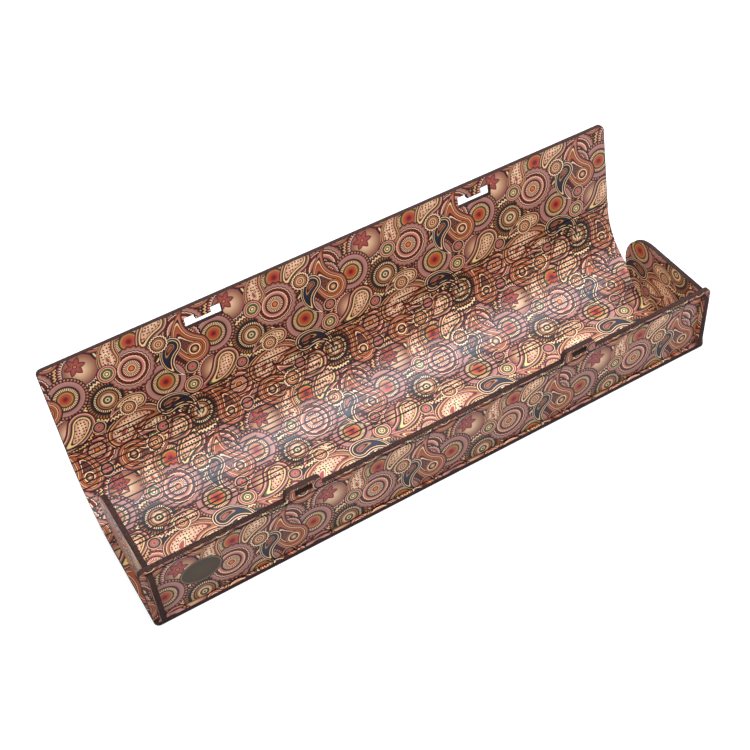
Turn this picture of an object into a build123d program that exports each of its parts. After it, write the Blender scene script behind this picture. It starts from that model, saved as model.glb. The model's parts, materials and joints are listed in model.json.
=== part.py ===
"""Brush box with a hinged lid, slotted together from four thin laser-cut boards. Millimetres.

Frame: the origin is the centre of the underside of the flat base, +X runs along the box to its
right end, +Y from the front wall to the hinge, and +Z up. The lid is modelled standing open.

One board wraps round the box: its flat base, a hinge of 25 rows of staggered slits, and its lid.
Between two rows lies a strip of board, here a slat of its own, and the slats turn about the rows.
In the main fold two slats move as one, so every second main row keeps the bend it is modelled with.
"""
import os
from math import cos, radians, sin

from build123d import *

# The board and the laser
board = 3.0  # thickness of every board
kerf = 0.35  # width of a slit
slot_gap = 0.05  # each side of a tab or a panel in its slot

# The box
box_length = 350.0  # along X, the same for base, hinge, lid and front wall
base_depth = 50.0  # flat base, from its front edge to the first row of slits
ledge = 2.2  # base in front of the front wall
wall_height = 40.0  # front wall and end panels, above the base
wrap_corner = 3.0  # rounding of the base's and the lid's free corners
wall_corner = 3.0  # rounding of the front wall's top corners
panel_inset = 3.5  # from the box's end to an end panel's outer face
panel_nose = 3.0  # how far an end panel stands out in front of the front wall
panel_back_gap = 0.5  # how far an end panel's round back lies inside the closed hinge's round
slot_roof = 3.0  # front wall left above the slot for an end panel

# Feet that pass through the base
wall_foot_width = 12.0
wall_foot_places = (-130.0, -42.0, 42.0, 130.0)  # along X
panel_foot_width = 8.0
panel_foot_front = 16.0  # from the base's front edge to the middle of an end panel's front foot
panel_foot_back = 12.0  # from the base's back edge to the middle of its back foot

# The hinge
main_rows = 21  # rows that fold together
heel_rows = 2  # rows next to the base, which lie flat on the table while the lid stands open
press_row = heel_rows + main_rows + 1  # the row over which the lid is pressed shut
slide_row = press_row + 1  # the row at the lid, which gives way when the lid is pulled forward
closed_turn = 172.0  # degrees over heel and main rows when the lid hangs over the latch tabs
heel_turn = 6.05  # degrees over one heel row when the lid is closed
rest_turn = 80.0  # degrees over the main rows in the pose that is modelled
lid_gap = 0.53  # between the front wall's top and the closed lid
slits_per_row = 7
bridge_width = 6.0  # uncut board between two slits in a row
neck_root = 2.6  # height of a bridge's half where it leaves its slat
neck_tip = 0.3  # height at the row's bending line
neck_gap = 0.02  # from a bridge half's tip to the bending line

# The lid and its latches
lid_reach = 52.3  # from the last row's bending line to the lid's front edge
latch_place = 84.4  # from the middle of the box to the middle of a latch, along X
latch_width = 20.9
latch_height = 6.0  # above the front wall's top
latch_corner = 3.0
latch_play = 0.25  # each side of a latch tab in its window
tongue_width = 9.0
tongue_length = 3.0
tongue_play = 0.2  # round a tongue in its tab's hole
latch_front_gap = 0.17  # from a closed window's front side to its tab
latch_free = 0.27  # from a tongue to its tab when the lid is pulled forward

# Worked out from the sizes above
mid = board / 2
panel_radius = wall_height / 2
front_edge = -base_depth / 2
wall_front = front_edge + ledge
wall_back = wall_front + board
panel_front = wall_front - panel_nose
wall_top = board + wall_height
lid_underside = wall_top + lid_gap
rest_step = rest_turn / main_rows  # degrees a main row turns in the modelled pose
turning_rows = (main_rows + 1) // 2  # main rows that move: the first, the third and so on
still_rows = main_rows - turning_rows
closed_step = (closed_turn - heel_rows * heel_turn - still_rows * rest_step) / turning_rows
closed_slopes, closed_slope = [], 0.0  # the closed board's slope past each row but the last two
for row in range(1, press_row):
    if row <= heel_rows:
        closed_slope += heel_turn
    elif (row - heel_rows) % 2 == 1:
        closed_slope += closed_step
    else:
        closed_slope += rest_step
    closed_slopes.append(radians(closed_slope))
row_pitch = lid_underside / sum(sin(slope) for slope in closed_slopes)  # from one row to the next
first_row = base_depth / 2 + kerf / 2
panel_back_centre = first_row - row_pitch / 2 - panel_back_gap
panel_outer = box_length / 2 - panel_inset
panel_middle = panel_outer - board / 2
slit_spacing = box_length / slits_per_row
latch_slide = tongue_length - latch_front_gap + latch_free  # the lid's pull forward that frees it
panel_foot_places = (front_edge + panel_foot_front, -front_edge - panel_foot_back)


def row_line(row):
    """Y and Z of a row's bending line, and the board's slope just past it, in degrees."""
    y, z, slope = first_row, mid, 0.0
    for passed in range(1, row + 1):
        if passed > 1:
            y += row_pitch * cos(radians(slope))
            z += row_pitch * sin(radians(slope))
        if heel_rows < passed < press_row:
            slope += rest_step
    return y, z, slope


def along_board(row, slope, x=0.0):
    """Plane across the board at a row: its X runs along the board, its Y out of the inner face."""
    y, z, _ = row_line(row)
    forward = (0, cos(radians(slope)), sin(radians(slope)))
    return Plane(origin=(x, y, z), x_dir=forward, z_dir=(1, 0, 0))


def on_board(row):
    """Plane in the board past a row: its X is the box's, its Y runs towards the lid's front."""
    y, z, slope = row_line(row)
    upright = (0, -sin(radians(slope)), cos(radians(slope)))
    return Plane(origin=(0, y, z), x_dir=(1, 0, 0), z_dir=upright)


def bridge_spans(row):
    """Middle and width of each bridge of uncut board in a row. Odd rows keep a half at each end."""
    if row % 2 == 0:
        return [(slit_spacing * (n - (slits_per_row - 1) / 2), bridge_width) for n in range(slits_per_row)]
    inner = [(slit_spacing * (n - slits_per_row / 2), bridge_width) for n in range(1, slits_per_row)]
    end = (box_length - bridge_width / 2) / 2
    return inner + [(-end, bridge_width / 2), (end, bridge_width / 2)]


def add_necks(row, slope, side):
    """Halves of a row's bridges, pinched to its bending line. side is 1 past the row, -1 before."""
    for width in sorted({span[1] for span in bridge_spans(row)}):
        planes = [along_board(row, slope, x) for x, span in bridge_spans(row) if span == width]
        with BuildSketch(*planes) as necks:
            with BuildLine():
                Polyline(
                    (side * kerf, -neck_root / 2),
                    (side * kerf / 2, -neck_root / 2),
                    (side * neck_gap, -neck_tip / 2),
                    (side * neck_gap, neck_tip / 2),
                    (side * kerf / 2, neck_root / 2),
                    (side * kerf, neck_root / 2),
                    close=True,
                )
            make_face()
        extrude(necks.sketch, amount=width / 2, both=True)


def finish(piece, name):
    """Label a finished piece and write it."""
    piece.part.label = name
    export_step(piece.part, f"parts/{name}.step")


os.makedirs("parts", exist_ok=True)

# The base: a flat board with slots for the feet of the wall and the panels
with BuildPart() as base_board:
    with BuildSketch(Plane.XY):
        Rectangle(box_length, base_depth)
        fillet(vertices().group_by(Axis.Y)[0], radius=wrap_corner)
        with Locations(*[(x, wall_front + board / 2) for x in wall_foot_places]):
            Rectangle(wall_foot_width + 2 * slot_gap, board + 2 * slot_gap, mode=Mode.SUBTRACT)
        panel_slots = [(side * panel_middle, y) for side in (-1, 1) for y in panel_foot_places]
        with Locations(*panel_slots):
            Rectangle(board + 2 * slot_gap, panel_foot_width + 2 * slot_gap, mode=Mode.SUBTRACT)
    extrude(amount=board)
    add_necks(1, 0.0, -1)
finish(base_board, "base_board")

# The front wall, drawn on its front face: X along the box, Y up
wall_plane = Plane(origin=(0, wall_front, 0), x_dir=(1, 0, 0), z_dir=(0, -1, 0))
with BuildPart() as front_wall:
    with BuildSketch(wall_plane):
        with Locations((0, board + wall_height / 2)):
            Rectangle(box_length, wall_height)
        fillet(vertices().group_by(Axis.Y)[-1], radius=wall_corner)
        with Locations(*[(side * latch_place, wall_top) for side in (-1, 1)]):
            RectangleRounded(latch_width, 2 * latch_height, latch_corner)
        with Locations(*[(x, board) for x in wall_foot_places]):
            Rectangle(wall_foot_width, 2 * board)
        slot_height = wall_height - slot_roof
        with Locations(*[(side * panel_middle, board + slot_height / 2) for side in (-1, 1)]):
            Rectangle(board + 2 * slot_gap, slot_height, mode=Mode.SUBTRACT)
        with Locations(*[(side * latch_place, lid_underside + board / 2) for side in (-1, 1)]):
            Rectangle(tongue_width + 2 * tongue_play, board + 2 * tongue_play, mode=Mode.SUBTRACT)
    extrude(amount=-board)
finish(front_wall, "front_wall")

# The end panels, drawn across the box: X towards the hinge, Y up
for side, name in ((-1, "left_end_panel"), (1, "right_end_panel")):
    outer_face = Plane(origin=(side * panel_middle - board / 2, 0, 0), x_dir=(0, 1, 0), z_dir=(1, 0, 0))
    with BuildPart() as end_panel:
        with BuildSketch(outer_face):
            with Locations(((panel_front + panel_back_centre) / 2, board + panel_radius)):
                Rectangle(panel_back_centre - panel_front, wall_height)
            with Locations((panel_back_centre, board + panel_radius)):
                Circle(panel_radius)
            with Locations(*[(y, board) for y in panel_foot_places]):
                Rectangle(panel_foot_width, 2 * board)
            notch_depth, notch_height = wall_back + slot_gap - panel_front, slot_roof + slot_gap
            with Locations((panel_front + notch_depth / 2, wall_top - notch_height / 2)):
                Rectangle(notch_depth, notch_height, mode=Mode.SUBTRACT)
        extrude(amount=board)
    finish(end_panel, name)

# The hinge: a slat between each row of slits and the next
for row in range(1, slide_row):
    row_slope = row_line(row)[2]
    with BuildPart() as hinge_slat:
        with BuildSketch(on_board(row)):
            with Locations((0, row_pitch / 2)):
                Rectangle(box_length, row_pitch - kerf)
        extrude(amount=board / 2, both=True)
        add_necks(row, row_slope, 1)
        add_necks(row + 1, row_slope, -1)
    finish(hinge_slat, f"hinge_slat_{row:02d}")

# The lid: its windows drop over the latch tabs, and a tongue in each goes into its tab's hole
press_y = first_row + row_pitch * sum(cos(slope) for slope in closed_slopes)
closed_front = press_y - row_pitch - lid_reach
window_front = wall_front - latch_front_gap - closed_front
window_back = wall_back + latch_slide + 2 * latch_front_gap - closed_front
with BuildPart() as lid_panel:
    with BuildSketch(on_board(slide_row)):
        with Locations((0, (lid_reach + kerf / 2) / 2)):
            Rectangle(box_length, lid_reach - kerf / 2)
        fillet(vertices().group_by(Axis.Y)[-1], radius=wrap_corner)
        window_depth = window_back - window_front
        window_middle = lid_reach - (window_front + window_back) / 2
        with Locations(*[(side * latch_place, window_middle) for side in (-1, 1)]):
            Rectangle(latch_width + 2 * latch_play, window_depth, mode=Mode.SUBTRACT)
        tongue_middle = lid_reach - window_front - tongue_length / 2
        with Locations(*[(side * latch_place, tongue_middle) for side in (-1, 1)]):
            Rectangle(tongue_width, tongue_length)
    extrude(amount=board / 2, both=True)
    add_necks(slide_row, row_line(slide_row)[2], 1)
finish(lid_panel, "lid_panel")

print(f"row pitch {row_pitch:.3f}, closed step {closed_step:.3f}, lid front when closed {closed_front:.2f}")
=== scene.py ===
"""Brush box with a hinged lid: four laser-cut boards, printed on both faces and lacquered.

One board wraps round the box: its flat base, its slit hinge and its lid. It is drawn flat first, as
the laser cuts it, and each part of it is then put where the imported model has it. Sizes are in
millimetres, and every finished mesh is in metres.
"""
import json
from math import cos, pi, radians, sin

import bmesh
import bpy
from mathutils import Matrix, Vector


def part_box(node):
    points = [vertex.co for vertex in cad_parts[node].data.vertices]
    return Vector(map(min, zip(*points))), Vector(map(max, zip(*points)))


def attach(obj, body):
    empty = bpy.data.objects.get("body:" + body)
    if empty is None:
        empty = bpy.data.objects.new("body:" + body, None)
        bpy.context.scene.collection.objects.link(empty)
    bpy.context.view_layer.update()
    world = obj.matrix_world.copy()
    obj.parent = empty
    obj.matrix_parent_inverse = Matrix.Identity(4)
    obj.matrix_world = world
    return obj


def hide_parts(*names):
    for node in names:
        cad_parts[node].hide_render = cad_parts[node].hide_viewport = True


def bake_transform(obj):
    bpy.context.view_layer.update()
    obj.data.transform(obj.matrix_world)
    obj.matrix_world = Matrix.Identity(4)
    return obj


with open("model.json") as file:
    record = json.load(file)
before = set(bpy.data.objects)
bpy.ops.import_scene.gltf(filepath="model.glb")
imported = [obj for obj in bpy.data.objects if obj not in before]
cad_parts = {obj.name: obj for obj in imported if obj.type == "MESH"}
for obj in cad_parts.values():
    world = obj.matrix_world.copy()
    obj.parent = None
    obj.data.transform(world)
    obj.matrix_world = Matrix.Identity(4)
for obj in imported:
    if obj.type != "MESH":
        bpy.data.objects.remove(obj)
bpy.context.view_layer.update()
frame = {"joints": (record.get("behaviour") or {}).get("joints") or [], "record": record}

MM = 0.001
board = 3.0  # thickness of every board
kerf = 0.35  # width of a slit
slot_gap = 0.05  # each side of a foot or a panel in its slot
box_length = 350.0
base_depth = 50.0
wall_front = -22.8  # Y of the front wall's face
wall_top = 43.0
wrap_corner = 3.0  # rounding of the base's and the lid's free corners
wall_corner = 3.0  # rounding of the wall's top corners
wall_foot_width = 12.0
wall_foot_places = (-130.0, -42.0, 42.0, 130.0)
panel_middle = 170.0  # from the middle of the box to the middle of an end panel
panel_nose = 3.0  # how far an end panel stands out in front of the front wall
panel_foot_width = 8.0
panel_foot_places = (16.0, 38.0)  # from the base's front edge
slot_roof = 3.0  # wall left above the slot for an end panel
latch_place = 84.4  # from the middle of the box to the middle of a latch
latch_width = 20.9
latch_height = 6.0  # above the wall's top
latch_corner = 3.0
latch_play = 0.25  # each side of a latch tab in its window
tongue_width = 9.0
tongue_length = 3.0
tongue_play = 0.2  # round a tongue in its tab's hole
lid_gap = 0.53  # between the wall's top and the closed lid
lid_reach = 52.3  # from the last row to the lid's front edge
window_front, window_back = 5.72, 12.33  # from there to its windows' front and back sides
rows = 25
heel_rows = 2  # rows beside the base, which stay flat while the lid stands open
press_row = 24
rest_step = 80 / 21  # degrees a main row is bent while the lid stands open
bridge_width = 6.0  # uncut board between two slits in a row
bridge_spacing = 50.0
slit_waist = 0.155  # how far a slit's sides stand in deeper down, so that hardly any light passes
broken_edge = 0.12  # bevel along every laser cut
rim_width = 0.55  # how far the scorching reaches in over a board's face
burnt_to, clean_from = 0.295, 0.68  # the same beside a slit, from its middle: darkest up to, gone from
wall_print = (0, 600)  # where in the ornament the wall's print starts
oval_middle = (-144.8, 23.8)  # of the bare oval on the wall, from the wall's middle and its feet
oval_size = (24.0, 17.0)

row_places = {joint["name"]: joint["pos_m"][1] / MM for joint in frame["joints"] if "pos_m" in joint}
row_pitch = row_places["slit_row_02"] - row_places["heel_fold"]
first_row = row_places["heel_fold"] + base_depth / 2  # along the board from its front edge


# ---------------------------------------------------------------- colours and nodes

def ink(code, alpha=1.0):
    """A colour written in sRGB hex, as the linear one Blender works with."""
    channels = [int(code[place:place + 2], 16) / 255 for place in (1, 3, 5)]
    linear = [c / 12.92 if c <= 0.04045 else ((c + 0.055) / 1.055) ** 2.4 for c in channels]
    return (*linear, alpha)


def add(tree, kind, fed=(), **settings):
    """A node with its settings. fed gives its inputs, in order or by place: values, nodes or sockets."""
    node = tree.nodes.new(kind)
    for name, value in settings.items():
        setattr(node, name, value)
    for place, value in (fed.items() if isinstance(fed, dict) else enumerate(fed)):
        if isinstance(value, bpy.types.Node):
            value = value.outputs[0]
        if isinstance(value, bpy.types.NodeSocket):
            tree.links.new(value, node.inputs[place])
        elif value is not None:
            node.inputs[place].default_value = value
    return node


# ---------------------------------------------------------------- the printed ornament

PLUM, NIGHT, NAVY = "#261417", "#1B1D22", "#22304A"
MAROON, BRICK, RED = "#571C21", "#8C3430", "#AE3F35"
CREAM, STRAW, GOLD = "#F0D2AA", "#EBCB92", "#C28A4E"
ORANGE, RUST, ROSE = "#B96A43", "#985037", "#B0655C"
MAUVE, BLUSH, OLIVE = "#A37A70", "#D3A084", "#656C40"
TAN, SHELL = "#976149", "#BA8C7D"
TILE = (84.0, 78.0)  # the ornament repeats after so many millimetres

# Rings from a motif's middle outwards: the share of its radius where the ring ends, its colour, the
# colour it fades to, and "fill" for a ring filled with dots or a comb of radial strokes.
SUN = ((0.08, GOLD), (0.15, RED, BRICK), (0.18, STRAW), (0.36, BLUSH, CREAM, "fill"), (0.38, PLUM),
       (0.44, MAROON), (0.55, ROSE, BLUSH), (0.58, CREAM), (0.72, MAROON, BRICK, "fill"), (0.75, CREAM),
       (0.79, PLUM), (0.91, SHELL, MAUVE), (0.95, RUST), (1.0, PLUM))
FAN = ((0.11, MAROON, BRICK), (0.28, RED, ORANGE), (0.32, GOLD), (0.36, OLIVE), (0.40, PLUM),
       (0.52, STRAW, CREAM, "fill"), (0.55, RUST), (0.62, PLUM), (0.82, MAUVE, SHELL), (0.85, MAROON),
       (0.94, TAN, BLUSH, "fill"), (1.0, PLUM))
MOON = ((0.58, CREAM, TAN), (0.61, ROSE), (0.66, NAVY), (0.68, CREAM), (0.76, CREAM, ROSE, "fill"),
        (0.79, BRICK), (0.85, PLUM), (0.92, STRAW, GOLD), (1.0, PLUM))
POND = ((0.46, BLUSH, CREAM, "fill"), (0.49, MAROON), (0.56, CREAM), (0.62, OLIVE, TAN), (0.65, CREAM),
        (0.76, ROSE, MAROON), (0.79, STRAW), (0.89, NIGHT), (0.94, GOLD), (1.0, PLUM))
COG = ((0.05, PLUM), (0.09, CREAM), (0.15, OLIVE), (0.19, PLUM), (0.32, CREAM, TAN), (0.35, PLUM),
       (0.40, GOLD, TAN), (0.45, PLUM), (0.53, STRAW, CREAM, "fill"), (0.64, NIGHT),
       (0.76, TAN, GOLD, "fill"), (0.83, NIGHT), (0.91, STRAW, CREAM), (1.0, PLUM))
TARGET = ((0.10, GOLD, RUST), (0.14, PLUM), (0.24, BLUSH, ROSE), (0.28, MAROON), (0.35, CREAM),
          (0.41, MAROON), (0.52, ORANGE, RUST), (0.55, STRAW), (0.60, PLUM), (0.70, CREAM, BLUSH, "fill"),
          (0.75, MAROON), (0.86, ROSE, SHELL), (0.89, CREAM), (1.0, PLUM))
DUSK = ((0.40, MAROON), (0.84, NIGHT, NAVY), (0.91, STRAW), (1.0, PLUM))
DISC = ((0.20, RED), (0.26, BLUSH), (0.60, ROSE, MAUVE), (0.82, NIGHT), (0.93, STRAW, BLUSH), (1.0, MAROON))
LEAF = ((0.14, CREAM), (0.24, PLUM), (0.34, STRAW), (0.38, PLUM), (0.60, OLIVE, "#4C5838"), (0.66, CREAM),
        (0.80, BRICK, ROSE), (0.90, BLUSH), (1.0, PLUM))
WHEEL = ((0.14, RED), (0.22, STRAW), (0.30, MAROON), (0.48, TAN, CREAM), (0.54, MAROON),
         (0.66, GOLD, ORANGE), (0.80, PLUM), (0.92, CREAM), (1.0, NIGHT))
FLAME = ((0.42, "#8A5F4B", "#6B4238", "fill"), (0.46, CREAM), (0.53, MAROON), (0.68, ORANGE, RUST),
         (0.72, STRAW), (0.78, MAROON), (0.87, SHELL, ORANGE), (0.93, RUST), (1.0, PLUM))
SEED = ((0.44, CREAM, BLUSH, "fill"), (0.49, MAROON), (0.58, STRAW), (0.63, OLIVE), (0.70, PLUM),
        (0.81, ROSE, MAUVE), (0.85, CREAM), (0.93, BRICK), (1.0, PLUM))
PALM = ((0.14, RED, ROSE), (0.18, CREAM), (0.21, MAROON), (0.60, CREAM, BLUSH, "fill"), (0.63, BRICK),
        (0.66, PLUM), (0.77, TAN, GOLD), (0.80, CREAM), (0.92, MAROON, BRICK), (0.95, STRAW), (1.0, PLUM))
COMMA = ((0.16, ROSE, TAN), (0.24, PLUM), (0.30, GOLD), (0.62, NAVY, NIGHT), (0.68, STRAW), (0.78, MAROON),
         (0.85, NAVY), (0.92, CREAM), (1.0, PLUM))
EYE = ((0.36, STRAW, TAN), (0.58, PLUM, MAROON), (0.72, CREAM), (0.84, BRICK), (0.93, GOLD), (1.0, PLUM))
FLOWER = ((0.22, GOLD), (0.34, MAROON), (0.85, ROSE, BRICK), (1.0, MAROON))

# Kind, place in the tile, radius and rings. Then for a round motif its teeth or strokes, how deep the
# teeth bite, and the strokes' ink; for a curled one its length, the way it points in degrees and its
# curl in degrees per millimetre.
MOTIFS = (
    ("round", (70, 3), 13.8, SUN, 30, 0.05, MAROON),
    ("round", (14, 6), 14.6, MOON, 46, 0.09, MAROON),
    ("round", (35, 15), 14.0, DUSK, 0, 0.0, None),
    ("round", (42, 10), 14.0, FAN, 44, 0.03, MAROON),
    ("curl", (57, 14), 8.0, SEED, 26.0, 195, -2.4),
    ("round", (66, 32), 15.0, DUSK, 0, 0.0, None),
    ("round", (67, 28), 13.0, COG, 38, 0.10, NIGHT),
    ("round", (13, 39), 13.6, DUSK, 0, 0.0, None),
    ("round", (8, 33), 13.0, SUN, 28, 0.06, BRICK),
    ("round", (36, 36), 15.4, POND, 40, 0.02, None),
    ("curl", (24, 36), 10.0, PALM, 30.0, 60, 2.4),
    ("round", (62, 61), 14.0, DUSK, 0, 0.0, None),
    ("round", (54, 55), 13.6, FAN, 46, 0.03, MAROON),
    ("round", (82, 50), 13.2, MOON, 42, 0.09, BRICK),
    ("round", (22, 60), 13.8, COG, 40, 0.10, NIGHT),
    ("round", (2, 71), 12.5, FAN, 38, 0.03, MAROON),
    ("round", (70, 75), 9.5, TARGET, 28, 0.07, PLUM),
    ("round", (39, 72), 13.0, SUN, 26, 0.07, MAROON),
    ("round", (86, 47), 3.4, FLOWER, 5, 0.75, None),
    ("round", (12, 9), 3.4, FLOWER, 6, 0.75, None),
    ("curl", (53, 25), 8.4, SEED, 27.0, 205, 2.0),
    ("curl", (25, 21), 9.2, FLAME, 29.0, -35, -2.0),
    ("curl", (74, 67), 9.0, FLAME, 28.0, 150, 2.2),
    ("curl", (51, 41), 6.4, COMMA, 25.0, 30, 3.4),
    ("curl", (5, 52), 8.2, SEED, 26.0, -105, 2.2),
    ("curl", (62, 74), 6.0, COMMA, 22.0, -150, -3.4),
    ("curl", (83, 20), 8.4, FLAME, 26.0, 70, -2.2),
    ("curl", (37, 52), 5.4, SEED, 20.0, 140, -3.0),
    ("curl", (29, 4), 6.6, PALM, 22.0, 110, 3.0),
    ("round", (25, 21), 4.6, EYE, 0, 0.0, None),
    ("round", (74, 67), 4.6, EYE, 0, 0.0, None),
    ("round", (83, 20), 4.2, EYE, 0, 0.0, None),
    ("round", (38, 22), 5.2, WHEEL, 20, 0.14, None),
    ("round", (68, 46), 5.8, LEAF, 0, 0.0, None),
    ("round", (9, 20), 4.6, DISC, 0, 0.0, None),
    ("round", (45, 29), 4.4, DISC, 0, 0.0, None),
    ("round", (31, 50), 4.8, WHEEL, 20, 0.14, None),
    ("round", (13, 46), 4.2, DISC, 0, 0.0, None),
    ("round", (70, 57), 4.2, DISC, 0, 0.0, None),
    ("round", (26, 75), 5.6, LEAF, 0, 0.0, None),
    ("round", (56, 1), 5.2, WHEEL, 18, 0.14, None),
)


def fill_ramp(ramp, rings):
    """Sets a ramp to a motif's rings. A filled ring is marked in the ramp's alpha."""
    stops, start, blur = [], 0.0, 0.001
    for end, first, *more in rings:
        last = next((colour for colour in more if colour != "fill"), first)
        mark = 1.0 if "fill" in more else 0.0
        stops += [(start + blur, ink(first, mark)), (end - blur, ink(last, mark))]
        start = end
    while len(ramp.elements) < len(stops):
        ramp.elements.new(1.0)
    for element, (position, colour) in zip(ramp.elements, stops):
        element.position = position
        element.color = colour


def mix(tree, share, under, over):
    """One colour laid over another by a share."""
    return add(tree, "ShaderNodeMix", {0: share, 6: under, 7: over}, data_type="RGBA").outputs[2]


def round_share(tree, local, distance, radius, teeth, bite):
    """How far out each point of a round motif lies, with its teeth, and the zigzag that they follow."""
    share = add(tree, "ShaderNodeMath", [distance, 1 / radius], operation="MULTIPLY")
    if not teeth:
        return share, None
    sides = add(tree, "ShaderNodeSeparateXYZ", [local])
    angle = add(tree, "ShaderNodeMath", [sides.outputs[1], sides.outputs[0]], operation="ARCTAN2")
    turns = add(tree, "ShaderNodeMath", [angle, teeth / pi], operation="MULTIPLY")
    zigzag = add(tree, "ShaderNodeMath", [turns, 1.0], operation="PINGPONG")
    deeper = add(tree, "ShaderNodeMath", [share, 2.5], operation="POWER", use_clamp=True)
    depth = add(tree, "ShaderNodeMath", [zigzag, bite, -bite], operation="MULTIPLY_ADD")
    return add(tree, "ShaderNodeMath", [depth, deeper, share], operation="MULTIPLY_ADD"), zigzag


def curled_share(tree, local, distance, radius, length, points, curl):
    """How far out each point of a curled motif lies: its head is round and its tail narrows and curls."""
    twist = add(tree, "ShaderNodeMath", [distance, radians(curl), radians(90 - points)],
                operation="MULTIPLY_ADD")
    turned = add(tree, "ShaderNodeVectorRotate", {"Vector": local, "Angle": twist}, rotation_type="Z_AXIS")
    sides = add(tree, "ShaderNodeSeparateXYZ", [turned])
    tail = add(tree, "ShaderNodeMath", [sides.outputs[1], 0.0], operation="MAXIMUM")
    head = add(tree, "ShaderNodeMath", [sides.outputs[1], 0.0], operation="MINIMUM")
    narrow = add(tree, "ShaderNodeMath", [tail, -1 / length, 1.0], operation="MULTIPLY_ADD")
    width = add(tree, "ShaderNodeMath", [narrow, 0.002], operation="MAXIMUM")
    across = add(tree, "ShaderNodeMath", [sides.outputs[0], sides.outputs[0]], operation="MULTIPLY")
    wide = add(tree, "ShaderNodeMath", [across, width], operation="DIVIDE")
    long = add(tree, "ShaderNodeMath", [tail, radius / length, head], operation="MULTIPLY_ADD")
    both = add(tree, "ShaderNodeMath", [long, long, wide], operation="MULTIPLY_ADD")
    root = add(tree, "ShaderNodeMath", [both], operation="SQRT")
    return add(tree, "ShaderNodeMath", [root, 1 / radius], operation="MULTIPLY")


def ornament():
    """The printed ornament as a group: millimetres on the flat board in, its colour out."""
    tree = bpy.data.node_groups.new("paisley print", "ShaderNodeTree")
    tree.interface.new_socket("Millimetres", in_out="INPUT", socket_type="NodeSocketVector")
    tree.interface.new_socket("Color", in_out="OUTPUT", socket_type="NodeSocketColor")
    flat = add(tree, "NodeGroupInput")
    # Dots about 1.8 mm apart, on the ground and in filled rings
    specks = add(tree, "ShaderNodeTexVoronoi", {"Vector": flat, "Scale": 0.55, "Randomness": 0.4},
                 voronoi_dimensions="2D")
    dotted = add(tree, "ShaderNodeMath", [specks, 0.27], operation="LESS_THAN")
    colour = mix(tree, dotted, ink("#42161B"), ink(BLUSH))
    half = (TILE[0] / 2, TILE[1] / 2, 0)
    for kind, place, radius, rings, *shape in MOTIFS:
        away = add(tree, "ShaderNodeVectorMath", [flat, (*place, 0)], operation="SUBTRACT")
        local = add(tree, "ShaderNodeVectorMath", [away, half, (-half[0], -half[1], 0)], operation="WRAP")
        distance = add(tree, "ShaderNodeVectorMath", [local], operation="LENGTH").outputs[1]
        filling, stroke = dotted, MAROON
        if kind == "round":
            teeth, bite, comb = shape
            share, zigzag = round_share(tree, local, distance, radius, teeth, bite)
            if comb:
                filling = add(tree, "ShaderNodeMath", [zigzag, 0.5], operation="GREATER_THAN")
                stroke = comb
        else:
            share = curled_share(tree, local, distance, radius, *shape)
        painted = add(tree, "ShaderNodeValToRGB", [share])
        fill_ramp(painted.color_ramp, rings)
        fresh = painted.outputs[0]
        if any("fill" in ring for ring in rings):
            shown = add(tree, "ShaderNodeMath", [painted.outputs[1], filling], operation="MULTIPLY")
            fresh = mix(tree, shown, fresh, ink(stroke))
        inside = add(tree, "ShaderNodeMath", [share, 1.0], operation="LESS_THAN")
        colour = mix(tree, inside, colour, fresh)
    add(tree, "NodeGroupOutput", [colour])
    return tree


# ---------------------------------------------------------------- the two finishes

def bare_oval(tree, flat, print_colour):
    """The wall's print with a bare oval of brown ink and a paler band round it."""
    middle = [place + start for place, start in zip(oval_middle, wall_print)]
    centred = add(tree, "ShaderNodeVectorMath", [flat, (*middle, 0)], operation="SUBTRACT")
    squeeze = (2 / oval_size[0], 2 / oval_size[1], 0)
    squeezed = add(tree, "ShaderNodeVectorMath", [centred, squeeze], operation="MULTIPLY")
    share = add(tree, "ShaderNodeVectorMath", [squeezed], operation="LENGTH").outputs[1]
    oval = add(tree, "ShaderNodeValToRGB", [share])
    fill_ramp(oval.color_ramp, ((0.88, "#5C4B30", "#4E3F29"), (0.94, "#8A7350"), (1.0, "#3E3222")))
    inside = add(tree, "ShaderNodeMath", [share, 1.0], operation="LESS_THAN")
    return mix(tree, inside, print_colour, oval)


def slit_lines(tree, flat):
    """The dark line that the laser leaves along both sides of a slit: 1 on it, fading to 0."""
    sides = add(tree, "ShaderNodeSeparateXYZ", [flat])
    # Along the board in row pitches: the first row's slits are at 0.5, the next row's at 1.5
    along = add(tree, "ShaderNodeMath", [sides.outputs[1], 1 / row_pitch, 0.5 - first_row / row_pitch],
                operation="MULTIPLY_ADD")
    near = add(tree, "ShaderNodeMath", [along, 1.0, 0.0], operation="WRAP")
    off = add(tree, "ShaderNodeMath", [near, -0.5], operation="ADD")
    off = add(tree, "ShaderNodeMath", [off], operation="ABSOLUTE")
    line = add(tree, "ShaderNodeMapRange", [off, burnt_to / row_pitch, clean_from / row_pitch, 1.0, 0.0])
    row = add(tree, "ShaderNodeMath", [along], operation="FLOOR")
    odd = add(tree, "ShaderNodeMath", [row, 2.0, 0.0], operation="WRAP")
    # Across the board, from the middle of the nearest bridge, where there is no slit
    shifted = add(tree, "ShaderNodeMath", [odd, bridge_spacing / 2, sides.outputs[0]],
                  operation="MULTIPLY_ADD")
    place = add(tree, "ShaderNodeMath", [shifted, bridge_spacing, 0.0], operation="WRAP")
    aside = add(tree, "ShaderNodeMath", [place, -bridge_spacing / 2], operation="ADD")
    aside = add(tree, "ShaderNodeMath", [aside], operation="ABSOLUTE")
    slit = add(tree, "ShaderNodeMath", [aside, bridge_width / 2], operation="GREATER_THAN")
    line = add(tree, "ShaderNodeMath", [line, slit], operation="MULTIPLY")
    on_hinge = add(tree, "ShaderNodeMath", [row, (rows - 1) / 2, rows / 2], operation="COMPARE")
    return add(tree, "ShaderNodeMath", [line, on_hinge], operation="MULTIPLY")


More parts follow.
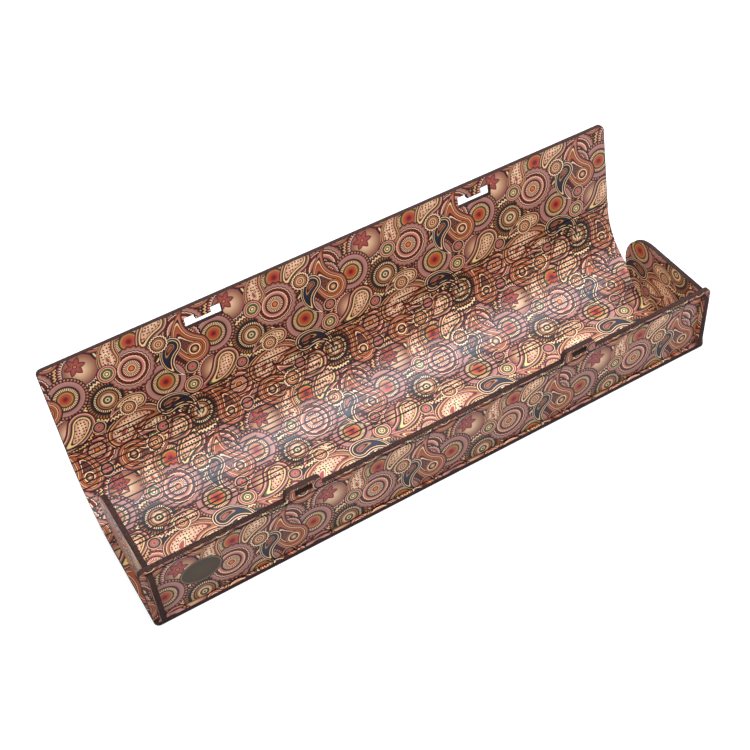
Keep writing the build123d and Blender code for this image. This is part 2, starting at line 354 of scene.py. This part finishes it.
def printed_board(name, ornament_group, slits=False, oval=False):
    """Fibreboard with an offset print under satin lacquer, cut by a laser.

    The eye gets rich, slightly uneven ink, soft wide highlights from the lacquer, and a scorched
    line, nearly black, along every cut.
    """
    material = bpy.data.materials.new(name)
    material.use_nodes = True
    tree = material.node_tree
    tree.nodes.clear()
    flat = add(tree, "ShaderNodeUVMap", uv_map="Flat")
    printed = add(tree, "ShaderNodeGroup")
    printed.node_tree = ornament_group
    tree.links.new(flat.outputs[0], printed.inputs[0])
    colour = printed.outputs[0]
    if oval:
        colour = bare_oval(tree, flat, colour)
    scorch = add(tree, "ShaderNodeAttribute", attribute_name="scorch").outputs[2]
    burnt = add(tree, "ShaderNodeMath", [scorch, 1.6], operation="POWER")
    if slits:
        burnt = add(tree, "ShaderNodeMath", [burnt, slit_lines(tree, flat)], operation="MAXIMUM")
    # The ink lies a little thicker and thinner over patches of about 20 mm
    cloud = add(tree, "ShaderNodeTexNoise", {"Vector": flat, "Scale": 0.05, "Detail": 2.0})
    shade = add(tree, "ShaderNodeMapRange", [cloud, 0.3, 0.7, 1.02, 1.17])
    deep = add(tree, "ShaderNodeGamma", [colour, 1.2])
    tinted = add(tree, "ShaderNodeVectorMath", {0: deep, 3: shade}, operation="SCALE")
    finished = mix(tree, burnt, tinted, ink("#20100C"))
    # The lacquer's waves, about a millimetre long
    smear = add(tree, "ShaderNodeTexNoise", {"Vector": flat, "Scale": 0.9, "Detail": 3.0})
    gloss = add(tree, "ShaderNodeMapRange", [smear, 0.2, 0.8, 0.34, 0.46])
    skin = add(tree, "ShaderNodeBump", {"Strength": 0.06, "Distance": 0.0001, "Height": smear})
    shader = add(tree, "ShaderNodeBsdfPrincipled",
                 {"Base Color": finished, "Roughness": gloss, "Normal": skin, "IOR": 1.5})
    add(tree, "ShaderNodeOutputMaterial", [shader])
    return material


def burnt_edge():
    """Fibreboard where a laser went through it: a matt dark brown edge with sootier flecks."""
    material = bpy.data.materials.new("laser-burnt fibreboard edge")
    material.use_nodes = True
    tree = material.node_tree
    tree.nodes.clear()
    # The flecks are about a millimetre across, coarser than the fibres, so that they show
    place = add(tree, "ShaderNodeTexCoord")
    flecks = add(tree, "ShaderNodeTexNoise",
                 {"Vector": place.outputs["Object"], "Scale": 0.9 / MM, "Detail": 3.0})
    colour = add(tree, "ShaderNodeValToRGB", [flecks])
    fill_ramp(colour.color_ramp, ((0.35, "#1F110D"), (0.65, "#2B1913", "#3A241C"), (1.0, "#4A3026")))
    shader = add(tree, "ShaderNodeBsdfPrincipled",
                 {"Base Color": colour, "Roughness": 0.75, "Specular IOR Level": 0.2})
    add(tree, "ShaderNodeOutputMaterial", [shader])
    return material


paisley = ornament()
EDGE = burnt_edge()
WRAP = printed_board("printed lacquered wrap board", paisley, slits=True)
WALL = printed_board("printed lacquered wall board", paisley, oval=True)
PANEL = printed_board("printed lacquered panel board", paisley)


# ---------------------------------------------------------------- boards

def outline(corners):
    """A closed line from corners given as (x, y), or as (x, y, radius) where an arc rounds them."""
    points, steps = [], 8
    for at, (x, y, *rounded) in enumerate(corners):
        here = Vector((x, y))
        if not rounded:
            points.append(here)
            continue
        before = (Vector(corners[at - 1][:2]) - here).normalized()
        after = (Vector(corners[(at + 1) % len(corners)][:2]) - here).normalized()
        radius = rounded[0]
        centre = here + (before + after) * radius
        start, end = here + before * radius - centre, here + after * radius - centre
        turn = start.angle_signed(end)
        points += [centre + Matrix.Rotation(-turn * step / steps, 2) @ start for step in range(steps + 1)]
    return points


def rectangle(x, y, wide, high):
    """The outline of a rectangle round x, y."""
    left, right, low, top = x - wide / 2, x + wide / 2, y - high / 2, y + high / 2
    return outline([(left, low), (right, low), (right, top), (left, top)])


def scorch_rim(flat, scorch):
    """Insets a rim round both faces of a board and marks its outer edge as scorched."""
    for side in (1, -1):
        faces = [face for face in flat.faces if face.normal.z * side > 0.95]
        outer = {vert for face in faces for vert in face.verts}
        bmesh.ops.inset_region(flat, faces=faces, thickness=rim_width, use_even_offset=True,
                               use_boundary=True)
        inner = {vert for face in faces for vert in face.verts}
        for vert in outer - inner:
            vert[scorch] = 1.0


def lay(mesh, place, printed, print_shift=(0, 0), scorched=True):
    """Finishes a board drawn flat in millimetres: its rim, its materials, its print and its place.

    A part of the hinge isn't scorched, because its slits have their burnt lines in the print.
    """
    flat = bmesh.new()
    flat.from_mesh(mesh)
    merged = 0.002
    bmesh.ops.remove_doubles(flat, verts=flat.verts, dist=merged)
    bmesh.ops.recalc_face_normals(flat, faces=flat.faces)
    scorch = flat.verts.layers.float.new("scorch")
    if scorched:
        scorch_rim(flat, scorch)
    print_map = flat.loops.layers.uv.new("Flat")
    # The far face's print starts whole tiles and whole bridge spacings further on, clear of the oval
    far_shift = 50 * TILE[0]
    for face in flat.faces:
        face.material_index = 1 if abs(face.normal.z) > 0.95 else 0
        further = 0.0 if face.normal.z > 0 else far_shift
        for loop in face.loops:
            at = loop.vert.co
            loop[print_map].uv = (at.x + print_shift[0] + further, at.y + print_shift[1])
    flat.transform(Matrix.Scale(MM, 4))
    flat.transform(place)
    mesh.materials.clear()
    mesh.materials.append(EDGE)
    mesh.materials.append(printed)
    flat.to_mesh(mesh)
    flat.free()


def show(name, mesh, body, slot, *nodes):
    """Puts a finished mesh in the scene as a piece that rides on a body and stands for CAD nodes."""
    piece = bpy.data.objects.new(name, mesh)
    mesh.name = name
    bpy.context.scene.collection.objects.link(piece)
    if body:
        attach(piece, body)
    if nodes:
        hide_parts(*nodes)
    return piece


def cut(lines):
    """A board of the given outline and holes, drawn flat in millimetres, with its edges just broken."""
    drawing = bpy.data.curves.new("cut", "CURVE")
    drawing.dimensions = "2D"
    drawing.fill_mode = "BOTH"
    drawing.extrude = board / 2 - broken_edge
    drawing.bevel_depth, drawing.bevel_resolution = broken_edge, 0
    drawing.offset = -broken_edge
    for line in lines:
        spline = drawing.splines.new("POLY")
        spline.points.add(len(line) - 1)
        for point, corner in zip(spline.points, line):
            point.co = (corner.x, corner.y, 0, 1)
        spline.use_cyclic_u = True
    plan = bpy.data.objects.new("cut", drawing)
    bpy.context.scene.collection.objects.link(plan)
    mesh = bpy.data.meshes.new_from_object(plan.evaluated_get(bpy.context.evaluated_depsgraph_get()))
    bpy.data.objects.remove(plan)
    return mesh


def upright(origin, across, up, out):
    """The place of a flat drawing: where its origin, its X, its Y and its face go, in millimetres."""
    columns = Matrix((across, up, out)).transposed().to_4x4()
    columns.translation = Vector(origin) * MM
    return columns


def past_row(row):
    """The place of the wrap board's part past a row, for a drawing measured along the whole board."""
    if not row:
        return upright((0, -base_depth / 2, board / 2), (1, 0, 0), (0, 1, 0), (0, 0, 1))
    y, z, slope = first_row - base_depth / 2, board / 2, 0.0
    for passed in range(1, row + 1):
        if passed > 1:
            y, z = y + row_pitch * cos(slope), z + row_pitch * sin(slope)
        if heel_rows < passed < press_row:
            slope += radians(rest_step)
    along = first_row + (row - 1) * row_pitch
    forward, out = Vector((0, cos(slope), sin(slope))), Vector((0, -sin(slope), cos(slope)))
    return upright(Vector((0, y, z)) - forward * along, (1, 0, 0), forward, out)


def lean(mesh, line, waist):
    """Leans the edge beside a row of slits towards them, more and more from face to underside."""
    nearby = 0.2
    for vert in mesh.vertices:
        if abs(vert.co.y - line) < nearby and vert.co.z < 0:
            vert.co.y += waist


def base():
    """The flat base, with slots for the feet of the wall and the panels."""
    half = box_length / 2
    slot = board + 2 * slot_gap
    wall_line = wall_front + base_depth / 2 + board / 2
    slots = [rectangle(x, wall_line, wall_foot_width + 2 * slot_gap, slot) for x in wall_foot_places]
    slots += [rectangle(side * panel_middle, y, slot, panel_foot_width + 2 * slot_gap)
              for side in (-1, 1) for y in panel_foot_places]
    corners = [(-half, 0, wrap_corner), (half, 0, wrap_corner), (half, base_depth), (-half, base_depth)]
    mesh = cut([outline(corners)] + slots)
    lean(mesh, base_depth, slit_waist)
    lay(mesh, past_row(0), WRAP)
    show("printed_base", mesh, "box", "wrap_board", "base_board")


def lid():
    """The lid, with a window for each latch tab and, on the window's front side, a tongue."""
    half = box_length / 2
    last_row = first_row + (rows - 1) * row_pitch
    start, end = last_row + kerf / 2, last_row + lid_reach
    back, front = end - window_back, end - window_front
    tip = front - tongue_length
    windows = []
    for x in (-latch_place, latch_place):
        left, right = (x + side * (latch_width / 2 + latch_play) for side in (-1, 1))
        tongue_left, tongue_right = (x + side * tongue_width / 2 for side in (-1, 1))
        windows.append(outline([(left, back), (right, back), (right, front), (tongue_right, front),
                                (tongue_right, tip), (tongue_left, tip), (tongue_left, front),
                                (left, front)]))
    corners = [(-half, start), (half, start), (half, end, wrap_corner), (-half, end, wrap_corner)]
    mesh = cut([outline(corners)] + windows)
    lean(mesh, start, -slit_waist)
    lay(mesh, past_row(rows), WRAP)
    show("printed_lid", mesh, "lid", "wrap_board", "lid_panel")


def front_wall():
    """The wall with its two latch tabs, its feet, and the slots that hold the end panels."""
    half = box_length / 2
    # What breaks the lower edge, from left to right: its middle, its width and the height it reaches
    feet = [(x, wall_foot_width, 0) for x in wall_foot_places]
    ends = [(side * panel_middle, board + 2 * slot_gap, wall_top - slot_roof) for side in (-1, 1)]
    corners = [(-half, board)]
    for x, wide, reach in (ends[0], *feet, ends[1]):
        left, right = x - wide / 2, x + wide / 2
        corners += [(left, board), (left, reach), (right, reach), (right, board)]
    corners += [(half, board), (half, wall_top, wall_corner)]
    tab_top = wall_top + latch_height
    for x in (latch_place, -latch_place):
        left, right = x - latch_width / 2, x + latch_width / 2
        corners += [(right, wall_top), (right, tab_top, latch_corner),
                    (left, tab_top, latch_corner), (left, wall_top)]
    corners.append((-half, wall_top, wall_corner))
    hole_wide, hole_high = tongue_width + 2 * tongue_play, board + 2 * tongue_play
    hole_line = wall_top + lid_gap + board / 2
    holes = [rectangle(side * latch_place, hole_line, hole_wide, hole_high) for side in (-1, 1)]
    mesh = cut([outline(corners)] + holes)
    place = upright((0, wall_front + board / 2, 0), (1, 0, 0), (0, 0, 1), (0, -1, 0))
    lay(mesh, place, WALL, wall_print)
    show("printed_front_wall", mesh, "box", "wall_board", "front_wall")


def end_panels():
    """The two ends, each with a nose through the wall and a round back that the closed hinge wraps."""
    radius = (wall_top - board) / 2
    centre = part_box("left_end_panel")[1].y / MM - radius
    corners = [(wall_front - panel_nose, board)]
    for y in panel_foot_places:
        front, back = (y - base_depth / 2 + side * panel_foot_width / 2 for side in (-1, 1))
        corners += [(front, board), (front, 0), (back, 0), (back, board)]
    steps = 36
    for step in range(steps + 1):
        turn = pi * step / steps
        corners.append((centre + radius * sin(turn), board + radius - radius * cos(turn)))
    notch_back, notch_foot = wall_front + board + slot_gap, wall_top - slot_roof - slot_gap
    corners += [(notch_back, wall_top), (notch_back, notch_foot), (wall_front - panel_nose, notch_foot)]
    # Side, name, and where in the ornament its print starts
    for side, name, print_shift in ((-1, "left", (61, 830)), (1, "right", (23, 1190))):
        mesh = cut([outline(corners)])
        place = upright((side * panel_middle, 0, 0), (0, 1, 0), (0, 0, 1), (1, 0, 0))
        lay(mesh, place, PANEL, print_shift)
        show(f"printed_{name}_panel", mesh, "box", "panel_board", f"{name}_end_panel")


# ---------------------------------------------------------------- the slit hinge

HINGE_SIZES = {
    "Strips": rows - 1, "Row pitch": row_pitch, "Kerf": kerf, "Length": box_length,
    "Thickness": board, "First row": first_row, "Bridge width": bridge_width,
    "Bridge spacing": bridge_spacing,
}


def hinge_tree():
    """Geometry Nodes for the flat hinge: its strips, and the bridges of uncut board between them."""
    tree = bpy.data.node_groups.new("slit hinge", "GeometryNodeTree")
    for name, value in HINGE_SIZES.items():
        kind = "NodeSocketInt" if name == "Strips" else "NodeSocketFloat"
        tree.interface.new_socket(name, in_out="INPUT", socket_type=kind).default_value = value
    tree.interface.new_socket("Geometry", in_out="OUTPUT", socket_type="NodeSocketGeometry")
    given = add(tree, "NodeGroupInput").outputs
    # Strips, each a row pitch further on and a kerf narrower than that
    middle = add(tree, "ShaderNodeMath", [given["Row pitch"], 0.5, given["First row"]],
                 operation="MULTIPLY_ADD")
    start = add(tree, "ShaderNodeCombineXYZ", {1: middle})
    onward = add(tree, "ShaderNodeCombineXYZ", {1: given["Row pitch"]})
    places = add(tree, "GeometryNodeMeshLine",
                 {"Count": given["Strips"], "Start Location": start, "Offset": onward})
    deep = add(tree, "ShaderNodeMath", [given["Row pitch"], given["Kerf"]], operation="SUBTRACT")
    strip_size = add(tree, "ShaderNodeCombineXYZ", [given["Length"], deep, given["Thickness"]])
    strip = add(tree, "GeometryNodeMeshCube", {"Size": strip_size, "Vertices Z": 3})
    strips = add(tree, "GeometryNodeInstanceOnPoints", {"Points": places, "Instance": strip})
    # Bridges, shifted by half a spacing from one row to the next. For odd and for even rows: how many
    # a row has, spacings from the first to the middle, rows passed, and rows beyond half the strips.
    block_size = add(tree, "ShaderNodeCombineXYZ",
                     [given["Bridge width"], given["Kerf"], given["Thickness"]])
    block = add(tree, "GeometryNodeMeshCube", {"Size": block_size, "Vertices Z": 3})
    grids = []
    for count, across, row, spare in ((8, 3.5, 0.0, 1.0), (7, 3.0, 1.0, 0.0)):
        left = add(tree, "ShaderNodeMath", [given["Bridge spacing"], -across], operation="MULTIPLY")
        first = add(tree, "ShaderNodeMath", [given["Row pitch"], row, given["First row"]],
                    operation="MULTIPLY_ADD")
        corner = add(tree, "ShaderNodeCombineXYZ", [left, first])
        aside = add(tree, "ShaderNodeCombineXYZ", [given["Bridge spacing"]])
        one_row = add(tree, "GeometryNodeMeshLine",
                      {"Count": count, "Start Location": corner, "Offset": aside})
        every_other = add(tree, "ShaderNodeMath", [given["Row pitch"], 2.0], operation="MULTIPLY")
        up = add(tree, "ShaderNodeCombineXYZ", {1: every_other})
        tall = add(tree, "ShaderNodeMath", [given["Strips"], 0.5, spare], operation="MULTIPLY_ADD")
        line = add(tree, "GeometryNodeMeshLine", {"Count": tall, "Offset": up})
        copies = add(tree, "GeometryNodeInstanceOnPoints", {"Points": line, "Instance": one_row})
        dots = add(tree, "GeometryNodeRealizeInstances", [copies])
        grids.append(add(tree, "GeometryNodeInstanceOnPoints", {"Points": dots, "Instance": block}))
    parts = add(tree, "GeometryNodeJoinGeometry")
    for part in (strips, *grids):
        tree.links.new(part.outputs[0], parts.inputs[0])
    real = add(tree, "GeometryNodeRealizeInstances", [parts])
    # The outermost bridges are trimmed to the board's ends
    half = add(tree, "ShaderNodeMath", [given["Length"], 0.5], operation="MULTIPLY")
    other = add(tree, "ShaderNodeMath", [given["Length"], -0.5], operation="MULTIPLY")
    position = add(tree, "ShaderNodeSeparateXYZ", [add(tree, "GeometryNodeInputPosition")])
    inside = add(tree, "ShaderNodeClamp", [position.outputs[0], other, half])
    trimmed = add(tree, "ShaderNodeCombineXYZ", [inside, position.outputs[1], position.outputs[2]])
    moved = add(tree, "GeometryNodeSetPosition", {"Geometry": real, "Position": trimmed})
    finished = add(tree, "GeometryNodeSetMaterial", {"Geometry": moved, "Material": EDGE})
    add(tree, "NodeGroupOutput", [finished])
    return tree


def cut_hinge():
    """The flat hinge as one mesh, in millimetres."""
    sheet = bpy.data.objects.new("hinge", bpy.data.meshes.new("hinge"))
    bpy.context.scene.collection.objects.link(sheet)
    nodes = sheet.modifiers.new("slit hinge", "NODES")
    nodes.node_group = hinge_tree()
    for item in nodes.node_group.interface.items_tree:
        if item.name in HINGE_SIZES:
            nodes[item.identifier] = HINGE_SIZES[item.name]
    mesh = bpy.data.meshes.new_from_object(sheet.evaluated_get(bpy.context.evaluated_depsgraph_get()))
    bpy.data.objects.remove(sheet)
    return mesh


def take(mesh, low, high, bulge):
    """The part of the flat hinge between two lines across it, its sides bulging at half depth."""
    part = bmesh.new()
    part.from_mesh(mesh)
    outside = [vert for vert in part.verts if not low < vert.co.y < high]
    bmesh.ops.delete(part, geom=outside, context="VERTS")
    for vert in part.verts:
        if abs(vert.co.z) < board / 4:
            vert.co.y += bulge if vert.co.y > (low + high) / 2 else -bulge
    taken = bpy.data.meshes.new("part")
    part.to_mesh(taken)
    part.free()
    return taken


def bend_bridges(mesh, row, line):
    """Lays a row of bridges so that each end meets the strip on its own side of the row."""
    lay(mesh, Matrix.Identity(4), WRAP, scorched=False)
    before, after = past_row(row - 1), past_row(row)
    for vert in mesh.vertices:
        vert.co = (after if vert.co.y > line * MM else before) @ vert.co


def hinge():
    """Every strip on its own body; a row of bridges rides on the body its two strips share, and stays on no
    body where they differ.
    """
    sheet = cut_hinge()
    carried = frame["record"]["behaviour"]["bodies"]
    riders = {node: body for body, nodes in carried.items() for node in nodes}
    bodies = ["box"] + [riders[f"hinge_slat_{row:02d}"] for row in range(1, rows)] + ["lid"]
    half, margin = kerf / 2, 0.01
    for row in range(1, rows + 1):
        line = first_row + (row - 1) * row_pitch
        before, after = bodies[row - 1], bodies[row]
        bridges = take(sheet, line - half - margin, line + half + margin, -slit_waist)
        bend_bridges(bridges, row, line)
        name = f"bridges_{row:02d}"
        if before == after:
            show(name, bridges, after, "wrap_board")
        else:
            piece = show(name, bridges, None, "wrap_board")
            middle = past_row(row) @ Vector((0, line * MM, 0))
            along = past_row(row).to_3x3() @ Vector((0, half * MM, 0))
            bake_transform(piece)
        if row < rows:
            strip = take(sheet, line + half - margin, line + row_pitch - half + margin, slit_waist)
            lay(strip, past_row(row), WRAP, scorched=False)
            show(f"strip_{row:02d}", strip, after, "wrap_board", f"hinge_slat_{row:02d}")


base()
lid()
front_wall()
end_panels()
hinge()


# ---------------------------------------------------------------- floor, light and camera

def white_paper():
    """Matt white paper. It glows a little for the camera alone, so it looks white and keeps a shadow."""
    paper = bpy.data.materials.new("white paper floor")
    paper.use_nodes = True
    tree = paper.node_tree
    tree.nodes.clear()
    seen = add(tree, "ShaderNodeLightPath")
    glow = add(tree, "ShaderNodeMath", [seen.outputs["Is Camera Ray"], 0.72], operation="MULTIPLY")
    shader = add(tree, "ShaderNodeBsdfPrincipled",
                 {"Base Color": ink("#B4B4B4"), "Roughness": 0.9, "Specular IOR Level": 0.0,
                  "Emission Color": ink("#FFFFFF"), "Emission Strength": glow})
    add(tree, "ShaderNodeOutputMaterial", [shader])
    return paper


def studio_floor():
    """A wide floor just under the base, so that the two faces don't meet."""
    reach, drop = 6.0, 0.0005
    floor = bpy.data.objects.new("floor", bpy.data.meshes.new("floor"))
    corners = [(-reach, -reach, 0), (reach, -reach, 0), (reach, reach, 0), (-reach, reach, 0)]
    floor.data.from_pydata(corners, [], [(0, 1, 2, 3)])
    floor.location.z = -drop
    bpy.context.scene.collection.objects.link(floor)
    floor.data.materials.append(white_paper())


def lamps():
    """A soft light overhead, one behind and a large one at the left, all a little cool."""
    # Name, place, aim, size and power in watts
    boxes = (("overhead softbox", (0.34, -0.12, 1.15), (0, 0.03, 0), (0.8, 0.8), 20.0),
             ("back softbox", (0.30, 0.85, 1.20), (0, 0, 0), (0.9, 0.6), 7.5),
             ("left fill", (-1.5, -0.45, 1.0), (0, 0, 0.03), (1.4, 1.4), 19.0))
    for name, place, aim, size, power in boxes:
        lamp = bpy.data.lights.new(name, "AREA")
        lamp.shape = "RECTANGLE"
        lamp.size, lamp.size_y = size
        lamp.energy = power
        lamp.color = ink("#ECF0FF")[:3]
        holder = bpy.data.objects.new(name, lamp)
        holder.location = place
        holder.rotation_euler = (Vector(aim) - Vector(place)).to_track_quat("-Z", "Y").to_euler()
        bpy.context.scene.collection.objects.link(holder)


def white_surroundings():
    """Plain white for the camera and in reflections, and a weaker light from all round."""
    world = bpy.data.worlds.new("white studio")
    world.use_nodes = True
    tree = world.node_tree
    tree.nodes.clear()
    seen = add(tree, "ShaderNodeLightPath")
    shown = add(tree, "ShaderNodeMath", [seen.outputs["Is Camera Ray"], seen.outputs["Is Glossy Ray"]],
                operation="MAXIMUM")
    level = add(tree, "ShaderNodeMapRange", [shown, 0.0, 1.0, 0.42, 1.0])
    sky = add(tree, "ShaderNodeBackground", [ink("#FFFFFF"), level])
    add(tree, "ShaderNodeOutputWorld", [sky])
    bpy.context.scene.world = world


def camera():
    """The photograph's view, solved from the box's straight edges and outline."""
    lens = bpy.data.cameras.new("camera")
    lens.lens = 63.528
    lens.sensor_width = 36.0
    lens.clip_start = 0.01
    holder = bpy.data.objects.new("camera", lens)
    holder.location = (-0.231443, -0.406624, 0.562167)
    holder.rotation_euler = (radians(42.86249), radians(3.71451), radians(-30.62906))
    bpy.context.scene.collection.objects.link(holder)
    bpy.context.scene.camera = holder


studio_floor()
lamps()
white_surroundings()
camera()
bpy.context.scene.view_settings.view_transform = "Standard"
